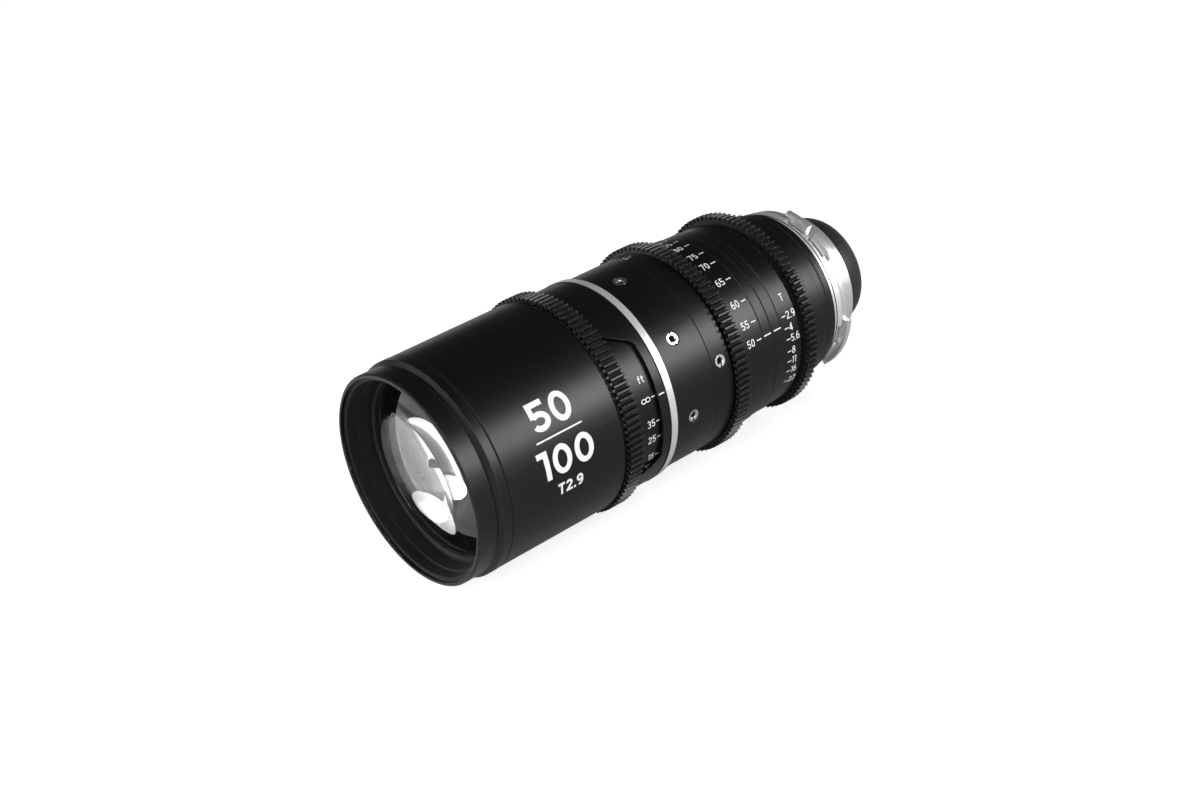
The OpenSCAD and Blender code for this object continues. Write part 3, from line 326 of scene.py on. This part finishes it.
def baffle_black():
    """Matt black of the rear tube, faintly glossy on its rounded shoulder."""
    finish = Finish("baffle_matt", Metallic=0.0, IOR=1.5, Specular_IOR_Level=0.4)
    grain = finish.noise(finish.place(), BAFFLE_GRAIN, 3, 0.6)
    rounded = finish.bevel(0.8 * MM, 8)
    finish.set("Base Color", finish.colour(grain, (0.010, 0.010, 0.010), (0.017, 0.017, 0.018)))
    finish.set("Roughness", 0.40 + grain * 0.10)
    finish.bump(grain, 0.2, 0.015 * MM, rounded)
    return finish.material


def marking_paint():
    """White screen ink: nearly matt, a touch uneven."""
    finish = Finish("marking_paint", Metallic=0.0, IOR=1.45)
    cover = finish.noise(finish.place(), INK_GRAIN, 3, 0.6)
    finish.set("Base Color", finish.colour(cover, (0.80, 0.80, 0.79), (0.90, 0.90, 0.89)))
    finish.set("Roughness", 0.48 + cover * 0.15)
    finish.bump(cover, 0.1, 0.01 * MM)
    return finish.material


# A turned metal's numbers are its colour, its roughness, and what lines and clouds add to that.
SLOT_FINISH = {
    "black_barrel": barrel_black(),
    "black_ring": ring_black(),
    "dark_cell": cell_black(),
    "carriage_metal": turned_metal("carriage_alloy", (0.045, 0.045, 0.048), 0.38, 0.12, 0.06),
    "glass": coated_glass(),
    "brass": turned_metal("cam_brass", (0.78, 0.58, 0.27), 0.22, 0.12, 0.06),
    "bright_metal": turned_metal("satin_alloy", (0.84, 0.84, 0.85), 0.32, 0.06, 0.04,
                                 metallic=0.58),
    "mount_steel": turned_metal("mount_steel", (0.82, 0.82, 0.82), 0.24, 0.06, 0.05,
                                metallic=0.75),
    "screw_steel": turned_metal("screw_steel", (0.78, 0.78, 0.79), 0.20, 0.06, 0.05),
    "blade_steel": turned_metal("blade_steel", (0.09, 0.09, 0.095), 0.34, 0.10, 0.06),
    "baffle_black": baffle_black(),
}
SLOT_OF_NODE = {part["node"]: part["material_slot"] for part in frame["record"]["subparts"]}
for name, piece in frame["nodes"].items():
    for slot in piece.material_slots:
        slot.material = SLOT_FINISH[SLOT_OF_NODE[name]]


# --------------------------------------------------------------------- marks

INK = marking_paint()
# How far the ink stands off the metal, and the width of the strips that a drawing bends in.
PAINT_LIFT = 0.035 * MM
STRIP = 0.7 * MM
INDEX_WIDTH = 0.5 * MM
TICK_WIDTH = 0.42 * MM
RANGE_LINE_WIDTH = 0.55 * MM


def wrap(mesh_piece, radius, station, turn):
    """Bends a flat drawing round the lens: its width runs rearward, its height round the barrel."""
    for vert in mesh_piece.verts:
        angle = math.radians(turn) - vert.co.y / radius
        reach = radius + PAINT_LIFT + vert.co.z
        vert.co = (reach * math.sin(angle), station + vert.co.x, reach * math.cos(angle))


def strips(drawing):
    """Cuts a flat drawing into narrow strips, so that it bends smoothly."""
    low = min(vert.co.y for vert in drawing.verts)
    high = max(vert.co.y for vert in drawing.verts)
    for step in range(1, int((high - low) / STRIP) + 1):
        everything = drawing.verts[:] + drawing.edges[:] + drawing.faces[:]
        at = Vector((0, low + step * STRIP, 0))
        bmesh.ops.bisect_plane(drawing, geom=everything, plane_co=at, plane_no=(0, 1, 0))


def paint_piece(name, drawing, radius, station, turn, body):
    """Paints a flat drawing on a ring of this radius, its faces outward, and lets it ride."""
    strips(drawing)
    wrap(drawing, radius, station, turn)
    bmesh.ops.recalc_face_normals(drawing, faces=drawing.faces[:])
    across = Vector((1, 0, 1))
    outward = sum(face.normal.dot(face.calc_center_median() * across) for face in drawing.faces)
    if outward < 0:
        bmesh.ops.reverse_faces(drawing, faces=drawing.faces[:])
    mesh = bpy.data.meshes.new(name)
    drawing.to_mesh(mesh)
    drawing.free()
    mesh.materials.append(INK)
    piece = bpy.data.objects.new(name, mesh)
    bpy.context.scene.collection.objects.link(piece)
    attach(piece, body)


def bar(width, height):
    """A flat painted line: width along the lens, height round it."""
    drawing = bmesh.new()
    bmesh.ops.create_grid(drawing, x_segments=1, y_segments=1, size=0.5)
    bmesh.ops.scale(drawing, vec=(width, height, 1), verts=drawing.verts[:])
    return drawing


class Figures:
    """Figures built of bars and bowls of one stroke width, on a body one unit tall."""

    BOWL_SIDES = 48
    LAYER_STEP = 0.0004

    def __init__(self, stroke, wide):
        self.drawing = bmesh.new()
        self.stroke = stroke
        self.wide = wide
        self.pen = 0.0
        self.layer = 0.0

    def put(self, verts, x, y):
        """Moves a stroke to its place, each a hair above the one before, so none share a plane."""
        self.layer += self.LAYER_STEP
        bmesh.ops.translate(self.drawing, vec=(self.pen + x, y, self.layer), verts=verts)

    def bar(self, x1, y1, x2, y2):
        made = bmesh.ops.create_grid(self.drawing, x_segments=1, y_segments=1, size=0.5)
        verts = made["verts"]
        length = math.hypot(x2 - x1, y2 - y1)
        bmesh.ops.scale(self.drawing, vec=(length, self.stroke, 1), verts=verts)
        lean = Matrix.Rotation(math.atan2(y2 - y1, x2 - x1), 3, "Z")
        bmesh.ops.rotate(self.drawing, cent=(0, 0, 0), matrix=lean, verts=verts)
        self.put(verts, (x1 + x2) / 2, (y1 + y2) / 2)

    def bowl(self, x, y, width, height, start=0, stop=360):
        """A round stroke, whole or from one angle to another, counted from the right."""
        made = bmesh.ops.create_circle(self.drawing, cap_ends=True, segments=self.BOWL_SIDES,
                                       radius=0.5)
        verts = made["verts"]
        bmesh.ops.scale(self.drawing, vec=(width, height, 1), verts=verts)
        disc = list(verts[0].link_faces)
        rim = bmesh.ops.inset_region(self.drawing, faces=disc, thickness=self.stroke,
                                     use_boundary=True, use_even_offset=True)["faces"]
        bmesh.ops.delete(self.drawing, geom=disc, context="FACES")
        unwanted = []
        for face in rim:
            at = face.calc_center_median()
            turn = math.degrees(math.atan2(at.y / height, at.x / width)) % 360
            if not (start <= turn <= stop or start <= turn - 360 <= stop):
                unwanted.append(face)
        kept = {vert for face in rim if face not in unwanted for vert in face.verts}
        bmesh.ops.delete(self.drawing, geom=unwanted, context="FACES")
        self.put(list(kept), x, y)

    def zero(self):
        self.bowl(self.wide / 2, 0.5, self.wide, 1)
        return self.wide

    def one(self):
        stem = self.wide * 0.56 - self.stroke / 2
        self.bar(stem, 0, stem, 1)
        self.bar(0, 1 - self.stroke / 2, stem, 1 - self.stroke / 2)
        return self.wide * 0.56

    def two(self):
        w, s = self.wide, self.stroke
        self.bowl(w / 2, 0.69, w, 0.62, -35, 170)
        knee = math.radians(-32)
        x = w / 2 + (w - s) / 2 * math.cos(knee)
        y = 0.69 + (0.62 - s) / 2 * math.sin(knee)
        self.bar(x + s * 0.1, y + s * 0.1, s * 0.45, s * 0.55)
        self.bar(0, s / 2, w, s / 2)
        return w

    def three(self):
        w = self.wide
        self.bowl(w / 2, 0.735, w * 0.92, 0.53, -95, 160)
        self.bowl(w / 2, 0.29, w, 0.58, -160, 95)
        return w

    def four(self):
        w, s = self.wide, self.stroke
        self.bar(w * 0.72, 0, w * 0.72, 1)
        self.bar(0, 0.28, w, 0.28)
        self.bar(w * 0.68, 1 - s * 0.3, s * 0.35, 0.28)
        return w

    def five(self):
        w, s = self.wide, self.stroke
        self.bar(w * 0.09, 1 - s / 2, w * 0.93, 1 - s / 2)
        self.bar(w * 0.09 + s / 2, 0.47, w * 0.09 + s / 2, 1)
        self.bowl(w / 2, 0.325, w, 0.65, -155, 135)
        return w

    def six(self, turned=False):
        w, s = self.wide, self.stroke
        before = set(self.drawing.verts)
        self.bowl(w / 2, 0.325, w, 0.65)
        self.bowl(w * 0.62, 0.5, w * 1.24, 1, 75, 180)
        self.bar(s / 2, 0.5, s / 2, 0.325)
        if turned:
            half = Matrix.Rotation(math.pi, 3, "Z")
            fresh = [vert for vert in self.drawing.verts if vert not in before]
            middle = (self.pen + w / 2, 0.5, 0)
            bmesh.ops.rotate(self.drawing, cent=middle, matrix=half, verts=fresh)
        return w

    def seven(self):
        w, s = self.wide, self.stroke
        self.bar(0, 1 - s / 2, w, 1 - s / 2)
        self.bar(w - s * 0.55, 1 - s / 2, w * 0.34, 0)
        return w

    def eight(self):
        w = self.wide
        self.bowl(w / 2, 0.745, w * 0.88, 0.51)
        self.bowl(w / 2, 0.29, w, 0.58)
        return w

    def nine(self):
        return self.six(turned=True)

    def point(self):
        self.bar(0, self.stroke / 2, self.stroke, self.stroke / 2)
        return self.stroke

    def capital_t(self):
        w, s = self.wide, self.stroke
        self.bar(0, 1 - s / 2, w, 1 - s / 2)
        self.bar(w / 2, 0, w / 2, 1)
        return w

    def small_f(self):
        s = self.stroke
        self.bar(0.18, 0, 0.18, 0.80)
        self.bowl(0.18 + 0.22 - s / 2, 0.78, 0.44, 0.44, 70, 180)
        self.bar(0, 0.64, 0.40, 0.64)
        return 0.42

    def small_t(self):
        s = self.stroke
        self.bar(0.18, 0.20, 0.18, 0.92)
        self.bowl(0.18 + 0.2 - s / 2, 0.2, 0.40, 0.40, 180, 290)
        self.bar(0, 0.64, 0.40, 0.64)
        return 0.42

    def endless(self):
        """Two bowls side by side, for a subject without end."""
        self.bowl(0.40, 0.42, 0.80, 0.66)
        self.bowl(1.20 - self.stroke, 0.42, 0.80, 0.66)
        return 1.60 - self.stroke

    SHAPES = {"0": zero, "1": one, "2": two, "3": three, "4": four, "5": five, "6": six,
              "7": seven, "8": eight, "9": nine, ".": point, "T": capital_t, "f": small_f,
              "t": small_t, "~": endless}

    def write(self, text, gap):
        for sign in text:
            self.pen += self.SHAPES[sign](self) + gap
        return self.drawing


def figures(text, height, width=None, stroke=0.13, wide=0.56, gap=0.12):
    """Flat figures of a given height, centred, stretched to a width where one is given.

    stroke, wide and gap are the line's width, a figure's width and the space between two,
    each as a share of the height."""
    drawing = Figures(stroke, wide).write(text, gap)
    low = [min(vert.co[k] for vert in drawing.verts) for k in range(2)]
    high = [max(vert.co[k] for vert in drawing.verts) for k in range(2)]
    middle = Vector(((low[0] + high[0]) / 2, 0.5, 0))
    bmesh.ops.translate(drawing, vec=-middle, verts=drawing.verts[:])
    across = height if width is None else width / (high[0] - low[0])
    bmesh.ops.scale(drawing, vec=(across, height, height), verts=drawing.verts[:])
    return drawing


def scale_ring(prefix, body, numbers, radius, edge, side, ticks, height):
    """A ring of numbers that all start or all end at one station, each with its line.

    Sizes are in mm. The numbers reach from edge to the rear where side is 1, and to the
    front where it is -1, and ticks are the stations between which the lines run."""
    start, end = (station * MM for station in ticks)
    for text, turn in numbers:
        word = "far" if text == "~" else text.replace(".", "_")
        drawing = figures(text, height * MM)
        station = edge * MM + side * max(vert.co.x for vert in drawing.verts)
        paint_piece(f"{prefix}_mark_{word}", drawing, radius * MM, station, turn, body)
        if text not in UNIT_SIGNS:
            tick = bar(end - start, TICK_WIDTH)
            middle = (start + end) / 2
            paint_piece(f"{prefix}_tick_{word}", tick, radius * MM, middle, turn, body)


UNIT_SIGNS = ("ft", "T")
# Each number with its turn round the lens in degrees, from the top toward the index side.
FOCUS_NUMBERS = [("ft", 78.75), ("~", 90), ("35", 104), ("25", 113.75), ("15", 126.25)]
FOCUS_NUMBERS += [("12", 135), ("10", 144), ("8", 157.5), ("7", 167.1), ("6", 180)]
FOCUS_NUMBERS += [("5", 198), ("4", 225), ("3.5", 244.3), ("3", 270), ("2.6", 295)]
ZOOM_NUMBERS = [("50", 90), ("55", 79.25), ("60", 66.5), ("65", 51.75), ("70", 38.75)]
ZOOM_NUMBERS += [("75", 29), ("80", 17.5), ("85", 8.25), ("90", 0), ("95", -7.75), ("100", -15)]
IRIS_NUMBERS = [("T", 74.5), ("2.9", 85.25), ("4", 92.5), ("5.6", 99.25), ("8", 107)]
IRIS_NUMBERS += [("11", 113.75), ("16", 120.75), ("22", 128.75)]

scale_ring("focus", "focus_ring_body", FOCUS_NUMBERS, radius=37.4, edge=-104.35, side=-1,
           ticks=(-103.7, -102.2), height=2.8)
scale_ring("zoom", "zoom_ring_body", ZOOM_NUMBERS, radius=37.1, edge=-53.4, side=-1,
           ticks=(-52.2, -49.9), height=2.9)
scale_ring("iris", "iris_ring_body", IRIS_NUMBERS, radius=36.1, edge=-35.1, side=1,
           ticks=(-37.4, -35.5), height=2.9)

# The index lines: radius, front and rear in mm, all at the same turn.
INDEX_TURN = 90
for name, radius, start, end in [
    ("index_line_focus", 38.9, -101.6, -99.1),
    ("index_line_zoom", 36.6, -48.0, -44.6),
    ("index_line_iris", 36.5, -42.9, -39.4),
]:
    line = bar((end - start) * MM, INDEX_WIDTH)
    paint_piece(name, line, radius * MM, (start + end) / 2 * MM, INDEX_TURN, "lens_body")

# The large marks on the front barrel, and the turn where each stands.
FACE_RADIUS = 39.9 * MM
FACE_STATION = -145.0 * MM
for name, drawing, turn in [
    ("range_wide", figures("50", 10.4 * MM, 16.7 * MM, stroke=0.19, wide=0.74), 71.5),
    ("range_line", bar(19.4 * MM, RANGE_LINE_WIDTH), 83.0),
    ("range_long", figures("100", 10.4 * MM, 23.3 * MM, stroke=0.19, wide=0.74, gap=0.14), 95.0),
    ("range_stop", figures("T2.9", 4.4 * MM, 10.7 * MM, stroke=0.21, wide=0.68), 110.0),
]:
    paint_piece(name, drawing, FACE_RADIUS, FACE_STATION, turn, "lens_body")


# --------------------------------------------------- floor, lights and camera

MIDDLE = Vector((0, -0.09, 0))
FLOOR_HALF = 6
FLOOR_DROP = 0.4 * MM
# Paper white for the camera from FAR on, and a little less up to NEAR, where the shadow lies.
NEAR, FAR = 0.16, 0.60
NEAR_WHITE = 0.78
# What reflections and glass see of the floor, and what they see more of it ahead of the lens.
AHEAD_START, AHEAD_END = -0.16, -0.22
MIRRORED, MIRRORED_AHEAD = 0.10, 0.25
THROUGH, THROUGH_AHEAD = 0.25, 0.45
# The dim ceiling, the pale horizon, the height where it ends, and how much of it glass shows.
CEILING = 0.06
HORIZON, HORIZON_TOP = 0.92, 0.36
HORIZON_THROUGH = 0.22


def ray_kinds(finish):
    """Rays from the camera, rays off glossy surfaces, and rays through glass."""
    kinds = ("Is Camera Ray", "Is Glossy Ray", "Is Transmission Ray")
    return [finish.node("ShaderNodeLightPath", output=kind) for kind in kinds]


def stage_floor():
    """A grey sheet that takes the shadow, and glows as white paper for the camera."""
    mesh = bpy.data.meshes.new("floor")
    slab = bmesh.new()
    bmesh.ops.create_grid(slab, x_segments=1, y_segments=1, size=FLOOR_HALF)
    bmesh.ops.translate(slab, vec=(0, 0, cad_box[0][2] - FLOOR_DROP), verts=slab.verts[:])
    slab.to_mesh(mesh)
    slab.free()
    floor = bpy.data.objects.new("floor", mesh)
    bpy.context.scene.collection.objects.link(floor)
    finish = Finish("floor_paper", Metallic=0.0, Roughness=0.9, Emission_Strength=1.0)
    finish.set("Base Color", (0.55, 0.55, 0.55))
    seen, mirror, through = ray_kinds(finish)
    x, y = finish.parts(finish.place())[:2]
    behind = y - MIDDLE.y
    away = (x * x + behind * behind).root()
    paper = NEAR_WHITE + away.between(NEAR, FAR) * (1 - NEAR_WHITE)
    ahead = y.between(AHEAD_START, AHEAD_END)
    mirrored = mirror * (MIRRORED + ahead * MIRRORED_AHEAD)
    passed = through * (THROUGH + ahead * THROUGH_AHEAD)
    finish.set("Emission Color", seen * paper + mirrored + passed)
    mesh.materials.append(finish.material)


def stage_world():
    """White where the camera sees it; a pale horizon under a dim ceiling for everything else."""
    world = bpy.data.worlds.new("studio")
    bpy.context.scene.world = world
    world.use_nodes = True
    tree = world.node_tree
    paper = tree.nodes["Background"]
    paper.inputs["Color"].default_value = (1, 1, 1, 1)
    air = Finish.around(tree)
    seen, mirror, through = ray_kinds(air)
    height = air.parts(air.node("ShaderNodeTexCoord", output="Generated"))[2]
    horizon = HORIZON - height.between(0.0, HORIZON_TOP) * HORIZON
    strength = CEILING + seen * (1 - CEILING) + horizon * (mirror + through * HORIZON_THROUGH)
    tree.links.new(strength.socket, paper.inputs["Strength"])


def softbox(name, place, width, height, power, shape="RECTANGLE"):
    """A lit panel in metres and watts, turned toward the middle of the lens."""
    lamp = bpy.data.lights.new(name, "AREA")
    lamp.shape = shape
    lamp.size = width
    lamp.size_y = height
    lamp.energy = power
    box = bpy.data.objects.new(name, lamp)
    box.location = place
    box.rotation_euler = (MIDDLE - Vector(place)).to_track_quat("-Z", "Y").to_euler()
    bpy.context.scene.collection.objects.link(box)


stage_floor()
stage_world()
softbox("key_softbox", (0.90, 0.50, 0.22), 0.60, 0.44, 8.5)
softbox("fill_softbox", (0.95, -0.95, 0.60), 1.0, 1.0, 12, "ELLIPSE")
softbox("front_softbox", (-0.65, -1.26, 0.36), 1.3, 0.66, 21, "ELLIPSE")

# The photograph's view. The columns are its right, its up, the way back, and its place.
view = bpy.data.cameras.new("camera")
view.lens = 55.39
view.sensor_width = 36.0
camera = bpy.data.objects.new("camera", view)
bpy.context.scene.collection.objects.link(camera)
camera.matrix_world = Matrix((
    (0.60866, -0.06828, 0.79048, 0.52316),
    (0.74604, 0.38843, -0.54088, -0.45677),
    (-0.27011, 0.91894, 0.28736, 0.18425),
    (0, 0, 0, 1),
))
bpy.context.scene.camera = camera
bpy.context.scene.view_settings.view_transform = "Standard"
